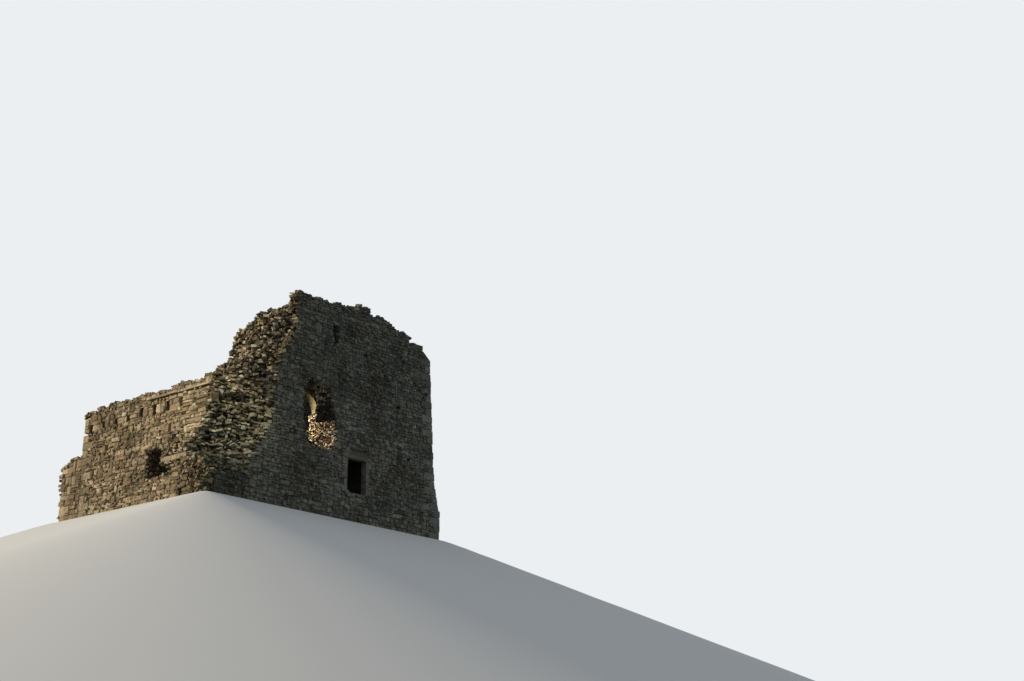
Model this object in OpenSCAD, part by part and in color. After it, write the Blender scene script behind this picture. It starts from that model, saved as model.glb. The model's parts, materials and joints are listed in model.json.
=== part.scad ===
// A ruined castle keep: four rubble walls round a roofless hall.
// The near left corner has fallen, which leaves the tall front wall with a torn, stepped end.
// Millimetres. X runs along the front wall, Y goes into the keep, Z is up.
// Until it is placed, a wall is drawn with its outer front left corner at the origin.

/* [Plan] */
// Length of the front wall at its foot, corner to corner
keep_len = 16900; // [15600:100:19000]
// Depth of the keep, front face to back face
keep_depth = 10700; // [9800:100:13000]
// Thickness of the front wall
front_t = 2200; // [1900:50:2600]
// Thickness of the left wall
left_t = 1900; // [1500:50:2300]
// Thickness of the back wall
back_t = 1900; // [1500:50:2300]
// Thickness of the right wall above its battered foot
right_t = 1900; // [1500:50:2300]
// Length of the curtain wall that still clings to the back left corner
curtain_len = 1800; // [800:100:3000]
// Thickness of that curtain wall
curtain_t = 1300; // [900:50:1500]

/* [Heights] */
// Height of the front wall's head
front_top = 12000; // [11200:100:13000]
// Height that the front wall has lost at its right end
front_top_drop = 1500; // [900:50:1800]
// Height of the left wall's parapet
left_top = 6000; // [5950:50:6800]
// Height of the ground floor
floor_z = 1300; // [800:50:1500]
// Height of one course where the masonry is torn open
course_h = 350; // [250:10:450]
// Typical length of one block along a broken wall head
block_l = 520; // [400:10:800]
// How unevenly the blocks of a broken head stand
head_jag = 130; // [40:10:220]
// Height of the short piece of wall that still stands above the front wall's head
stump_h = 380; // [200:10:500]
// Height of the curtain wall where it meets the keep
curtain_top = 3600; // [2800:100:4200]
// How much the curtain wall's head falls for each unit of length
curtain_fall = 0.3; // [0.1:0.05:0.5]

/* [Doorway] */
// Left side of the doorway, from the left corner
door_x = 9550; // [9450:50:10300]
// Clear width of the doorway
door_w = 1400; // [1100:25:1550]
// Height of the door sill
door_sill = 1600; // [1500:25:1800]
// Clear height of the doorway
door_h = 1900; // [1700:25:2100]
// Depth of the dressed stones round the doorway
dressing_t = 350; // [300:25:600]
// Width of a short jamb stone
jamb_short = 260; // [180:10:320]
// Width of a long jamb stone
jamb_long = 430; // [360:10:560]
// Height of one jamb stone
jamb_h = 380; // [300:10:480]
// Thickness of the door lintel
lintel_h = 270; // [180:10:350]
// How much wider than the doorway its passage is on each side, behind the dressed stones
passage_extra = 300; // [150:25:400]
// How much higher than the doorway that passage is
passage_rise = 250; // [100:25:400]
// Bearing of the lintel on each jamb
lintel_bearing = 380; // [250:10:500]
// Thickness of one relieving slab over the lintel
slab_h = 110; // [70:5:150]
// How far the lower relieving slab reaches past the lintel
slab_past = 120; // [40:10:200]

/* [Broken window] */
// Left side of the window bay, from the left corner
window_x = 6100; // [5950:50:6300]
// Width of the window bay
window_w = 2750; // [2600:50:2850]
// Clear width of the window's upper part, at the back of its stone skin
window_clear = 1820; // [1500:20:2000]
// Lowest point of the broken sill
window_sill = 3650; // [3400:50:3900]
// Height of the window's head
window_head = 7300; // [7200:50:7600]
// Height up to which the right side is torn out
window_torn = 5400; // [5000:50:5700]
// How far the stones at the foot of the window's left side reach into the bay
reveal_w = 1200; // [900:50:1350]
// How far that side stands back from the bay's edge higher up
reveal_margin = 100; // [50:10:200]
// How far the torn rubble reaches into the bay at the sill, from the bay's right side
heap_w = 300; // [200:25:450]
// Thickness of the stone skin that still frames the window outside
window_skin_t = 830; // [600:10:1000]
// Depth of the rear arch
rear_arch_t = 480; // [300:20:700]
// Clear radius of the rear arch
rear_arch_r = 1050; // [900:10:1100]
// Height of the rear arch's springing
rear_arch_spring = 6100; // [5900:50:6150]
// Thickness of the arch ring
ring_h = 300; // [200:10:400]

/* [Fallen corner] */
// How far from the corner the front facing starts, at the foot
tear_foot = 350; // [200:50:600]
// Height of the courses that still stand at the foot of the corner
foot_z = 1400; // [1050:50:1750]
// Where the torn edge turns upright, from the left corner
tear_top_x = 5450; // [5200:50:5700]
// Thickness of the facing stones in front of the core
facing_t = 450; // [300:10:600]
// How unevenly the torn stones stand
torn_jag = 110; // [40:10:160]

/* [Return wall] */
// Thickness of the stump of wall behind the front wall
return_t = 2200; // [1600:50:2500]
// How far the stump reaches behind the front wall
return_len = 2850; // [2200:50:3200]

/* [Left wall] */
// Height of the foot of the joist sockets
socket_z = 4750; // [4650:50:4850]
// Height of a short socket
socket_h = 400; // [300:10:450]
// Extra height of the tall sockets
socket_extra = 200; // [100:10:230]
// Width of a socket
socket_w = 280; // [200:10:360]
// Depth of a socket
socket_d = 450; // [300:10:600]
// Distance from one socket to the next
socket_pitch = 1085; // [1000:5:1100]
// Middle of the first socket, from the fallen corner
socket_first = 360; // [350:10:450]
// Number of sockets
socket_count = 10; // [6:1:10]
// Height of the ledge under the parapet
ledge_z = 5600; // [5550:10:5700]
// Thickness of the ledge slabs
ledge_h = 100; // [60:5:140]
// How far the ledge stands out
ledge_out = 150; // [60:10:160]
// Length of the ledge, from the fallen corner
ledge_len = 5200; // [4000:100:6500]
// Near side of the left embrasure, from the front face
embrasure_y = 3700; // [3600:50:4200]
// Width of an embrasure
embrasure_w = 1450; // [1100:50:1600]
// Height of an embrasure's head
embrasure_head = 2850; // [2700:50:3200]
// Height of the foot of the slab beside the left embrasure
slab_z = 2050; // [1900:10:2150]
// Thickness of that slab
embrasure_slab_h = 240; // [160:10:290]

/* [Corners] */
// Length of a long quoin
quoin_long = 820; // [650:10:1000]
// Length of a short quoin
quoin_short = 430; // [350:10:550]
// Height of one quoin
quoin_h = 420; // [300:10:560]
// How far the right foot flares out
flare = 500; // [300:50:700]
// Height of the flare's foot
flare_low = 1600; // [1200:50:1900]
// Height where the flare ends
flare_high = 3200; // [2800:50:3600]
// How far the right face leans in, from the flare to the head
batter = 600; // [300:50:900]

/* [Hidden] */
facing_colour = "#7f8078";
core_colour = "#a08f74";
lit_colour = "#a39a86";
dressed_colour = "#94928a";
floor_colour = "#8b8474";

door_head = door_sill + door_h;
door_right = door_x + door_w;
window_right = window_x + window_w;
band_z = socket_z + socket_h + socket_extra;
parapet_z = ledge_z + ledge_h;
slab_out = 150;
slab_l = 2000;
left_out = max(ledge_out, slab_out);
right_inner_x = keep_len - flare - right_t;
back_inner_y = keep_depth - back_t;
return_x = window_x - return_t;
corner_z = 2450;
rake_z = 8400;
crest_z = 11000;
lost_d = 350;
left_end_y = 120;
over = 400;

// One repeatable random number between -amount and amount
function jag(seed, i, amount) = rands(-amount, amount, 1, 97 * seed + 13 * i)[0];

// Where the front facing starts at height z
function facing_x(z) = z < foot_z ? tear_foot : tear_top_x * lookup(z / front_top, [
    [0.11, 0.41], [0.19, 0.51], [0.24, 0.54], [0.28, 0.64], [0.35, 0.71],
    [0.42, 0.74], [0.68, 0.80], [0.75, 0.91], [0.80, 1.00]
]);

// How far left the core behind the facing still reaches above the left wall
function core_x(z) = max(left_t, min(facing_x(z), lookup(z, [
    [6300, 1900], [6900, 2500], [8300, 3700], [9400, 4300], [10600, 4700], [front_top, 5100]
])));

// How far back the left facing starts at height z
function left_tear_y(z) = lookup(z, [
    [0, 150], [1900, 400], [2100, 1900], [2900, 1500], [3500, 800], [4700, 60]
]);

// How deep the left facing is torn beyond the front wall's back
function left_tear_d(z) = lookup(z, [[1900, 60], [2200, 420], [3000, 260], [3500, 40]]);

// The left side of the return wall at height z
function return_left(z) = max(return_x, lookup(z, [
    [7700, return_x], [8300, return_x + 500], [8900, return_x + 1300], [11000, return_x + 1450]
]));

// How much of the return wall's length has fallen at height z
function return_lost(z) = lookup(z, [
    [9900, 0], [10400, 0.06 * return_len], [10700, 0.25 * return_len], [11000, 0.55 * return_len]
]);

// Height of each broken head along its wall
front_head = function(x) lookup(x, [
    [window_x, front_top - 80], [window_right, front_top], [0.73 * keep_len, front_top],
    [0.80 * keep_len, front_top - 0.2 * front_top_drop],
    [0.845 * keep_len, front_top - 0.52 * front_top_drop],
    [0.90 * keep_len, front_top - 0.55 * front_top_drop],
    [0.935 * keep_len, front_top - front_top_drop]
]);
left_head = function(y) lookup(y, [
    [0, left_top + 50], [2700, left_top + 100], [3500, left_top - 40], [9500, left_top - 70],
    [keep_depth, left_top - 120]
]);
back_head = function(x) lookup(x, [
    [0, left_top - 150], [0.3 * keep_len, left_top - 700], [0.38 * keep_len, left_top + 1600],
    [0.53 * keep_len, left_top + 1900], [0.75 * keep_len, 9700], [keep_len, front_top - 1.13 * front_top_drop]
]);
right_head = function(y) lookup(y, [
    [0, front_top - front_top_drop], [keep_depth, front_top - 1.13 * front_top_drop]
]);

// The right face leans in above its flared foot
function right_inset(z) = z < flare_low ? 0
    : z < flare_high ? flare * (z - flare_low) / (flare_high - flare_low)
    : flare + batter * (z - flare_high) / (front_top - flare_high);

// Placing
module placed() translate([-(keep_len - left_out) / 2, -(keep_depth + curtain_len) / 2, 0])
    children();
module on_left() mirror([1, -1, 0]) children();
module on_back() translate([0, keep_depth, 0]) mirror([0, 1, 0]) children();

// A plain block of wall: u along the wall, d from its outer face inwards
module block(u, d, z) translate([u[0], d[0], z[0]])
    cube([u[1] - u[0], d[1] - d[0], z[1] - z[0]]);

// The stepped outline of a broken head
function head_outline(u, z0, head, seed) = let(n = max(2, round((u[1] - u[0]) / block_l)))
    concat([[u[1], z0], [u[0], z0]], [for (i = [0:n - 1], side = [0, 1])
        [u[0] + (u[1] - u[0]) * (i + side) / n,
         max(z0 + 0.5 * head_jag * (2 + i % 3),
             head(u[0] + (u[1] - u[0]) * (i + 0.5) / n) + jag(seed, i, head_jag))]]);

// A wall with a broken head: its outer leaf stands a little higher than its inner leaf
module broken_wall(u, d, z0, head, seed) for (leaf = [0, 1]) {
    leaf_t = (d[1] - d[0]) / 2;
    lower = function(u) head(u) - leaf * 2.2 * head_jag;
    translate([0, d[0] + (leaf + 1) * leaf_t, 0]) rotate([90, 0, 0])
        linear_extrude(leaf_t) polygon(head_outline(u, z0, lower, seed + leaf));
}

// Courses of torn masonry from height z[0] to z[1]; outline(z, i) gives the plan of course i
module courses(z, outline) {
    count = max(1, round((z[1] - z[0]) / course_h));
    levels = [for (i = [0:count]) round(z[0] + (z[1] - z[0]) * i / count)];
    for (i = [0:count - 1]) translate([0, 0, levels[i]])
        linear_extrude(levels[i + 1] - levels[i])
        polygon(outline((levels[i] + levels[i + 1]) / 2, i + round(z[0] / course_h)));
}

// Uneven points on the way from a to b
function torn_run(a, b, seed) = let(n = max(1, round(norm(b - a) / block_l)))
    [for (i = [1:1:n - 1]) a + (b - a) * i / n
        + [jag(seed, 2 * i, torn_jag), jag(seed, 2 * i + 1, torn_jag)]];

// Plan of one course of the front wall's left end, down where it turns the corner
joined_course = function(z, i) let(
    edge = facing_x(z) + jag(3, i, torn_jag),
    back = left_tear_y(z) + jag(4, i, 0.4 * torn_jag) + torn_jag,
    from = z < foot_z ? [edge, 0] : [edge, facing_t],
    to = z < foot_z ? [0, back] : [facing_t, back + 0.5 * facing_t]
) concat(
    [[window_x, 0], [edge, 0], from], torn_run(from, to, 40 + i), [to, [0, back]],
    [[0, front_t], [window_x, front_t]]);

// Plan of one course where the left wall's sockets and parapet pass the fallen corner
shoulder_course = function(z, i) let(
    edge = facing_x(z) + jag(3, i, torn_jag),
    from = [edge, facing_t],
    to = [left_t, left_end_y + facing_t + jag(4, i, torn_jag)]
) concat(
    [[window_x, 0], [edge, 0], from], torn_run(from, to, 60 + i), [to],
    [[left_t, front_t], [window_x, front_t]]);

// Plan of one course above the left wall, where the front wall stands torn by itself
free_course = function(z, i) let(
    edge = facing_x(z) + jag(5, i, torn_jag),
    core = max(left_t, min(core_x(z), edge - 2 * torn_jag) + jag(6, i, torn_jag)),
    from = [edge, facing_t],
    to = [core, 0.55 * front_t]
) concat(
    [[window_x, 0], [edge, 0], from], torn_run(from, to, 80 + i), [to],
    [[max(left_t, core + jag(7, i, torn_jag)), front_t], [window_x, front_t]]);

// Plan of one course of the crest, where only the facing still stands
crest_course = function(z, i) let(
    edge = facing_x(z) + jag(5, i, torn_jag)
) [
    [window_x, 0], [edge, 0], [edge + torn_jag, facing_t + jag(6, i, torn_jag)],
    [(edge + window_x) / 2, facing_t + torn_jag], [window_x, front_t / 2]
];

// Plan of one course of the return wall, whose far end is torn
return_course = function(z, i) let(
    left = return_left(z) + (z > 7000 ? jag(8, i, torn_jag) : 0),
    far = front_t + return_len - return_lost(z) + jag(9, i, 1.2 * torn_jag)
) concat(
    [[window_x, front_t], [left, front_t], [left, far - 2 * torn_jag]],
    torn_run([left, far], [window_x, far], 120 + i),
    [[window_x, far - torn_jag]]);

// Plan of one course of the left wall between the front wall and the embrasure
near_course = function(z, i) let(
    torn = left_tear_d(z) + 1,
    jamb = embrasure_y - (z > floor_z && z < slab_z
        ? lookup(z, [[floor_z, 900], [slab_z, 350]]) + jag(11, i, torn_jag) : 0)
) [
    [left_t, front_t], [torn, front_t], [0.5 * torn, (front_t + jamb) / 2], [0, jamb - 100],
    [0, jamb], [left_t, jamb]
];

// Front wall, left of the window
module front_wall_foot_left() color(facing_colour) placed() difference() {
    courses([0, corner_z], joined_course);
    slab_stone();
}
module corner_core() color(core_colour) placed()
    courses([corner_z, socket_z], joined_course);
module corner_shoulder() color(core_colour) placed()
    courses([socket_z, parapet_z], shoulder_course);
module torn_end_low() color(core_colour) placed()
    courses([parapet_z, rake_z], free_course);
module torn_end_high() color(core_colour) placed() {
    courses([rake_z, crest_z], free_course);
    courses([crest_z, front_top], crest_course);
}

// Front wall, window bay
module front_wall_under_window() color(facing_colour) placed()
    block([window_x, window_right], [0, front_t], [0, window_sill]);
module front_wall_over_window() color(facing_colour) placed() difference() {
    broken_wall([window_x, window_right], [0, front_t], window_head, front_head, 21);
    rear_ring_space();
    lost_stones();
}
module reveal_outline() polygon([
    [window_x, window_sill], [window_x + reveal_w, window_sill],
    [window_x + 0.36 * reveal_w, window_sill + 330], [window_x + 0.32 * reveal_w, window_sill + 700],
    [window_x + 0.24 * reveal_w, window_sill + 1100], [window_x + reveal_margin, window_sill + 1500],
    [window_x + reveal_margin, window_head - 700], [window_x + 5 * reveal_margin, window_head],
    [window_x, window_head]
]);
module window_left_reveal() color(facing_colour) placed()
    translate([0, front_t, 0]) rotate([90, 0, 0]) linear_extrude(front_t) reveal_outline();
// Outer edge of the stone skin right of the window at height z; the skin is splayed and overhangs
function skin_edge(z) = window_x + lookup(z - window_sill, [
    [1700, 2420], [2490, 2200], [3320, 1790], [3800, 1250]
]);
skin_course = function(z, i) [
    [window_right, 0], [skin_edge(z) + jag(35, i, 0.5 * torn_jag), 0],
    [window_x + window_clear, window_skin_t], [window_right, window_skin_t]
];
module window_right_reveal() color(facing_colour) placed()
    courses([window_torn, window_head], skin_course);

// Right edge of the torn hole in the facing at height z
function torn_right(z) = window_right - lookup(z - window_sill, [
    [0, 650], [300, 330], [700, 130], [1250, 150], [1600, 300], [2000, 420]
]);

// How far the torn jamb behind it reaches into the bay
function heap_reach(z) = lookup(z - window_sill, [
    [0, heap_w], [400, 0.8 * heap_w], [1750, 0.4 * heap_w]
]);
rubble_course = function(z, i) let(
    left = window_right - heap_reach(z),
    from = [torn_right(z), 0],
    to = [left + jag(31, i, 0.5 * torn_jag), front_t]
) concat([[window_right, 0], from], torn_run(from, to, 32 + i), [to, [window_right, front_t]]);
module window_torn_rubble() color(core_colour) placed()
    courses([window_sill, window_torn], rubble_course);
rear_arch_margin = 20;
rear_arch_x = window_right - rear_arch_r - rear_arch_margin;
module rear_ring_outline() intersection() {
    translate([rear_arch_x, rear_arch_spring]) circle(r = rear_arch_r + ring_h, $fn = 64);
    translate([window_x, rear_arch_spring]) square([window_w, 2 * rear_arch_r]);
}
module rear_ring_space() translate([0, front_t, 0]) rotate([90, 0, 0])
    linear_extrude(rear_arch_t) rear_ring_outline();
module window_rear_arch() color(lit_colour) placed() translate([0, front_t, 0])
    rotate([90, 0, 0]) linear_extrude(rear_arch_t) difference() {
        union() {
            rear_ring_outline();
            translate([window_x, window_torn]) square([window_w, window_head - window_torn]);
            translate([window_x, window_sill])
                square([rear_arch_x - rear_arch_r - window_x, window_torn - window_sill]);
        }
        translate([rear_arch_x, rear_arch_spring]) circle(r = rear_arch_r, $fn = 64);
        translate([rear_arch_x - rear_arch_r, window_torn - 1])
            square([2 * (rear_arch_r + rear_arch_margin), rear_arch_spring - window_torn + 1]);
        reveal_outline();
    }

// Front wall, from the window bay to the right corner
module front_wall_between() color(facing_colour) placed() difference() {
    broken_wall([window_right, door_x], [0, front_t], 0, front_head, 23);
    door_dressing();
    door_passage();
}
module front_wall_under_door() color(facing_colour) placed()
    block([door_x, door_right], [0, front_t], [0, door_sill - slab_h]);
module front_wall_over_door() color(facing_colour) placed() {
    difference() {
        broken_wall([door_x, door_right], [0, front_t], door_head, front_head, 25);
        door_dressing();
        door_passage();
        lost_stones();
    }
    block([door_x + 0.35 * door_w, door_right], [0, 0.4 * front_t],
        [front_top - 3 * head_jag, front_top + stump_h]);
}
module front_right_body() intersection() {
    broken_wall([door_right, keep_len], [0, front_t], 0, front_head, 27);
    right_section([0, front_t]);
}
module front_wall_right() color(facing_colour) placed() difference() {
    front_right_body();
    door_dressing();
    door_passage();
    corner_blocks(false);
    lost_stones();
}

// Holes where scaffold beams stood and face stones have dropped out: middle, width, foot, height
lost = [
    [8350, 450, 9450, 1300], [10690, 260, 9380, 260], [13650, 280, 9640, 260],
    [13400, 300, 6900, 300], [14290, 260, 4040, 300], [13620, 260, 1920, 240]
];
module lost_stones() for (h = lost)
    block([h[0] - h[1] / 2, h[0] + h[1] / 2], [-1, lost_d], [h[2], h[2] + h[3]]);

// Doorway
module door_passage() block([door_x - passage_extra, door_right + passage_extra],
    [dressing_t, front_t + 1], [door_sill, door_head + passage_rise]);
module jamb_stones() for (i = [0:ceil(door_h / jamb_h) - 1]) {
    wide = i % 2 == 0 ? jamb_long : jamb_short;
    low = door_sill + i * jamb_h;
    translate([-wide, 0, low]) cube([wide, dressing_t, min(jamb_h, door_head - low)]);
}
module jamb_pair_left() translate([door_x, 0, 0]) jamb_stones();
module jamb_pair_right() translate([door_right, 0, 0]) mirror([1, 0, 0]) jamb_stones();
module lintel_stone() block([door_x - lintel_bearing, door_right + lintel_bearing],
    [0, dressing_t], [door_head, door_head + lintel_h]);
module relieving_slabs() for (i = [0, 1]) block(
    [door_x - lintel_bearing - slab_past * (1 - 0.75 * i),
     door_right + lintel_bearing + slab_past * (1.25 - i)],
    [0, dressing_t], [door_head + lintel_h + i * slab_h, door_head + lintel_h + (i + 1) * slab_h]);
module door_dressing() {
    jamb_pair_left();
    jamb_pair_right();
    lintel_stone();
    relieving_slabs();
}
module door_sill_stone() color(dressed_colour) placed()
    block([door_x, door_right], [0, front_t], [door_sill - slab_h, door_sill]);
module door_jamb_left() color(dressed_colour) placed() jamb_pair_left();
module door_jamb_right() color(dressed_colour) placed() jamb_pair_right();
module door_lintel() color(dressed_colour) placed() lintel_stone();
module door_relieving_slabs() color(dressed_colour) placed() relieving_slabs();

// Return wall behind the front wall
return_z = [0, 4200, 8050, 11000];
module return_wall_low() color(core_colour) placed()
    courses([return_z[0], return_z[1]], return_course);
module return_wall_middle() color(core_colour) placed()
    courses([return_z[1], return_z[2]], return_course);
module return_wall_high() color(core_colour) placed()
    courses([return_z[2], return_z[3]], return_course);

// Left wall
module left_wall_near() color(lit_colour) placed() difference() {
    courses([0, socket_z], near_course);
    slab_stone();
}
module left_wall_under_embrasure() color(lit_colour) placed() on_left()
    block([embrasure_y, embrasure_y + embrasure_w], [0, left_t], [0, floor_z]);
module left_wall_over_embrasure() color(lit_colour) placed() on_left()
    block([embrasure_y, embrasure_y + embrasure_w], [0, left_t], [embrasure_head, socket_z]);
left_split = (embrasure_y + embrasure_w + keep_depth) / 2;
module left_wall_middle() color(lit_colour) placed() on_left()
    block([embrasure_y + embrasure_w, left_split], [0, left_t], [0, socket_z]);
module left_wall_back() color(lit_colour) placed() difference() {
    on_left() block([left_split, keep_depth], [0, left_t], [0, socket_z]);
    left_back_blocks();
}

// Blocks between the sockets: gaps is the list of sockets that stay open
module between_sockets(gaps, z) {
    edges = concat([left_end_y], [for (k = gaps, side = [-0.5, 0.5])
        socket_first + k * socket_pitch + side * socket_w], [keep_depth]);
    for (i = [0:2:len(edges) - 2]) block([edges[i], edges[i + 1]], [0, socket_d], z);
}
sockets = [for (k = [0:socket_count - 1]) k];
tall_sockets = [for (k = sockets) if (k >= 2 && k <= 5) k];
module socket_stones() color(lit_colour) placed() on_left()
    between_sockets(sockets, [socket_z, socket_z + socket_h]);
module socket_heads() color(lit_colour) placed() on_left()
    between_sockets(tall_sockets, [socket_z + socket_h, band_z]);
module left_wall_band() color(lit_colour) placed() on_left() {
    block([2 * left_end_y + facing_t, keep_depth], [socket_d, left_t], [socket_z, band_z]);
    block([left_end_y + ledge_out, keep_depth], [0, left_t], [band_z, ledge_z]);
}
module left_wall_ledge() color(lit_colour) placed() on_left() {
    block([left_end_y - 0.5 * ledge_out, ledge_len], [-ledge_out, left_t],
        [ledge_z, parapet_z]);
    block([ledge_len, keep_depth], [0, left_t], [ledge_z, parapet_z]);
}
module left_wall_parapet() color(lit_colour) placed() on_left()
    broken_wall([left_end_y, keep_depth], [0, left_t], parapet_z, left_head, 41);
module slab_stone() on_left() block([embrasure_y - slab_l, embrasure_y + 50],
    [-slab_out, 0.45 * left_t], [slab_z, slab_z + embrasure_slab_h]);
module embrasure_slab() color(dressed_colour) placed() slab_stone();

// Curtain wall stub
module curtain_stub() color(lit_colour) placed() on_left()
    broken_wall([keep_depth, keep_depth + curtain_len], [0, curtain_t], 0,
                function(y) curtain_top - curtain_fall * (y - keep_depth), 51);

// Back wall
back_x = keep_len / 2 - embrasure_w / 2;
module back_wall_left() color(facing_colour) placed() on_back()
    broken_wall([left_t, back_x], [0, back_t], 0, back_head, 61);
module back_wall_under_embrasure() color(facing_colour) placed() on_back()
    block([back_x, back_x + embrasure_w], [0, back_t], [0, floor_z]);
module back_wall_over_embrasure() color(facing_colour) placed() on_back()
    broken_wall([back_x, back_x + embrasure_w], [0, back_t], embrasure_head, back_head, 63);
module back_right_body() intersection() {
    on_back() broken_wall([back_x + embrasure_w, keep_len], [0, back_t], 0, back_head, 65);
    right_section([back_inner_y, keep_depth]);
}
module back_wall_right() color(facing_colour) placed() difference() {
    back_right_body();
    corner_blocks(true);
}

// Right wall, with its flared foot and leaning face
module right_section(y) translate([0, y[1], 0]) rotate([90, 0, 0]) linear_extrude(y[1] - y[0])
    polygon([
        [0, 0], [keep_len, 0], [keep_len, flare_low], [keep_len - flare, flare_high],
        [keep_len - flare - batter, front_top], [keep_len - flare - batter, 2 * front_top],
        [0, 2 * front_top]
    ]);
module right_part(y, seed) intersection() {
    on_left() broken_wall(y, [right_inner_x, keep_len], 0, right_head, seed);
    right_section(y);
}
right_split = (front_t + back_inner_y) / 2;
module right_wall_front() color(facing_colour) placed() right_part([front_t, right_split], 71);
module right_wall_back() color(facing_colour) placed() right_part([right_split, back_inner_y], 73);

// Corner stones, laid long and short in turn from the corner at the origin
module turned_blocks(inset, top) for (i = [0:ceil(top / quoin_h) - 1]) {
    long = i % 2 == 0;
    translate([-over, -over, i * quoin_h]) cube([
        over + inset(i * quoin_h) + (long ? quoin_long : quoin_short),
        over + (long ? quoin_short : quoin_long), quoin_h]);
}
module corner_blocks(at_back) translate([keep_len, at_back ? keep_depth : 0, 0])
    mirror([1, 0, 0]) mirror([0, at_back ? 1 : 0, 0])
    turned_blocks(function(z) right_inset(z), front_top);
module left_back_blocks() translate([0, keep_depth, 0]) mirror([0, 1, 0])
    turned_blocks(function(z) 0, socket_z);
module quoins_right_front() color(dressed_colour) placed() intersection() {
    front_right_body();
    corner_blocks(false);
}
module quoins_right_back() color(dressed_colour) placed() intersection() {
    back_right_body();
    corner_blocks(true);
}
module quoins_left_back() color(dressed_colour) placed() intersection() {
    on_left() block([left_split, keep_depth], [0, left_t], [0, socket_z]);
    left_back_blocks();
}

// Ground floor
module ground_floor() color(floor_colour) placed() difference() {
    block([left_t, right_inner_x], [front_t, back_inner_y], [0, floor_z]);
    courses([return_z[0], return_z[1]], return_course);
}

front_wall_foot_left();
front_wall_under_window();
front_wall_over_window();
front_wall_between();
front_wall_under_door();
front_wall_over_door();
front_wall_right();
door_sill_stone();
door_jamb_left();
door_jamb_right();
door_lintel();
door_relieving_slabs();
window_left_reveal();
window_right_reveal();
window_torn_rubble();
window_rear_arch();
corner_core();
corner_shoulder();
torn_end_low();
torn_end_high();
return_wall_low();
return_wall_middle();
return_wall_high();
left_wall_near();
left_wall_under_embrasure();
left_wall_over_embrasure();
left_wall_middle();
left_wall_back();
socket_stones();
socket_heads();
left_wall_band();
left_wall_ledge();
left_wall_parapet();
embrasure_slab();
curtain_stub();
back_wall_left();
back_wall_under_embrasure();
back_wall_over_embrasure();
back_wall_right();
right_wall_front();
right_wall_back();
quoins_right_front();
quoins_right_back();
quoins_left_back();
ground_floor();
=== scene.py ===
# %% [markdown]
# # A ruined castle keep in rubble stone
# The real thing is a roofless limestone keep on a hill, seen from far below. Its walls are two
# skins of coursed rubble with a loose core between them, and one corner has fallen, so the core
# shows. The walls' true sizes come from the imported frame; this script lays the stones on them.

# %% Load the frame
import json
import math
import random
from functools import partial

import bmesh
import bpy
from mathutils import Matrix, Vector
from mathutils.bvhtree import BVHTree

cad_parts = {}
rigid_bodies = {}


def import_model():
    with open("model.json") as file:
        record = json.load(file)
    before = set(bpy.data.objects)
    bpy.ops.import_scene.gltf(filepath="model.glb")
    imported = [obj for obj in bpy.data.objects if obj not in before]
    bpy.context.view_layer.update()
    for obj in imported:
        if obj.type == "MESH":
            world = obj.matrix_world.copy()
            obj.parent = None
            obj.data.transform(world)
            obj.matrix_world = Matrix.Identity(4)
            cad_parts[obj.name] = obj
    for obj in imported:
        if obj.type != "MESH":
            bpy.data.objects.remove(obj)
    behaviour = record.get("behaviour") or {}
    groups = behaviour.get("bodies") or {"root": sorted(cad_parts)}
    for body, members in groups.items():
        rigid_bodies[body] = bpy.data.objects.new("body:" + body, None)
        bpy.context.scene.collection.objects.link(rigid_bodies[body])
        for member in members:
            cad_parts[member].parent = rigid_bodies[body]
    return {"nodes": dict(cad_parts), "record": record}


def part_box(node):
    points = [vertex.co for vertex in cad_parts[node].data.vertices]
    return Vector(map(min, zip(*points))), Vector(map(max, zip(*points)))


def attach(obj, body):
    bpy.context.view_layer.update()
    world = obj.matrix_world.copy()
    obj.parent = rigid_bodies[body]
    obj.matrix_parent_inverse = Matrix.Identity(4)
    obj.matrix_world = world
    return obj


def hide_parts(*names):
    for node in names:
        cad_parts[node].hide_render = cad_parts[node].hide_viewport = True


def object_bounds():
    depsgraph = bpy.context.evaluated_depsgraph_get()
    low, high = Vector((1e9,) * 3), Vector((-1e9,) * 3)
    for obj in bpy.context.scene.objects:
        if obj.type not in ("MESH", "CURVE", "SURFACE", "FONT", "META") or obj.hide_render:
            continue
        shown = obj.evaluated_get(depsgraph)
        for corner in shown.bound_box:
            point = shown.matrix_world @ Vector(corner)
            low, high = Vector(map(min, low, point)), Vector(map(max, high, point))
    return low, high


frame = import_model()
cad_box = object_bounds()
scene = bpy.context.scene
NODES = frame["nodes"]


def into_scene(name, data):
    """Makes an object of some data and puts it into the scene."""
    made = bpy.data.objects.new(name, data)
    scene.collection.objects.link(made)
    return made


print("nodes", len(NODES), "box", [tuple(round(c, 2) for c in corner) for corner in cad_box])

# %% [markdown]
# ## The camera
# The viewer stands about 95 m away and 18 m below the foot of the walls, off the left corner.
# A long lens keeps the walls' lines nearly parallel. The camera is tipped up and has no shift.

# %% Camera
EYE = Vector((-62.205, -71.97, -18.47))
AHEAD = Vector((0.76154, 0.64812, 0.0)).normalized()
TILT = math.radians(17.51)
LENS_MM, SENSOR_MM = 60.1, 36.0

camera_data = bpy.data.cameras.new("viewpoint")
camera_data.lens, camera_data.sensor_width = LENS_MM, SENSOR_MM
camera_data.clip_end = 500.0
camera = into_scene("viewpoint", camera_data)
look = AHEAD * math.cos(TILT) + Vector((0, 0, math.sin(TILT)))
camera.matrix_world = Matrix.Translation(EYE) @ look.to_track_quat("-Z", "Y").to_matrix().to_4x4()
scene.camera = camera
scene.view_settings.view_transform = "Standard"
print("camera", round(EYE.length, 1), "m from the keep")

# %% [markdown]
# ## Light
# The sky gives most of the light. A low, soft sun stands behind the keep and to the left, so it
# rakes along the left wall and picks out every stone, while the front wall stays in open shade.
# Two narrow lamps stand for sunlight that the walls keep out here: one in the hall lights the
# window's broken side, and one outside lights the torn belt of the fallen corner.

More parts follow.
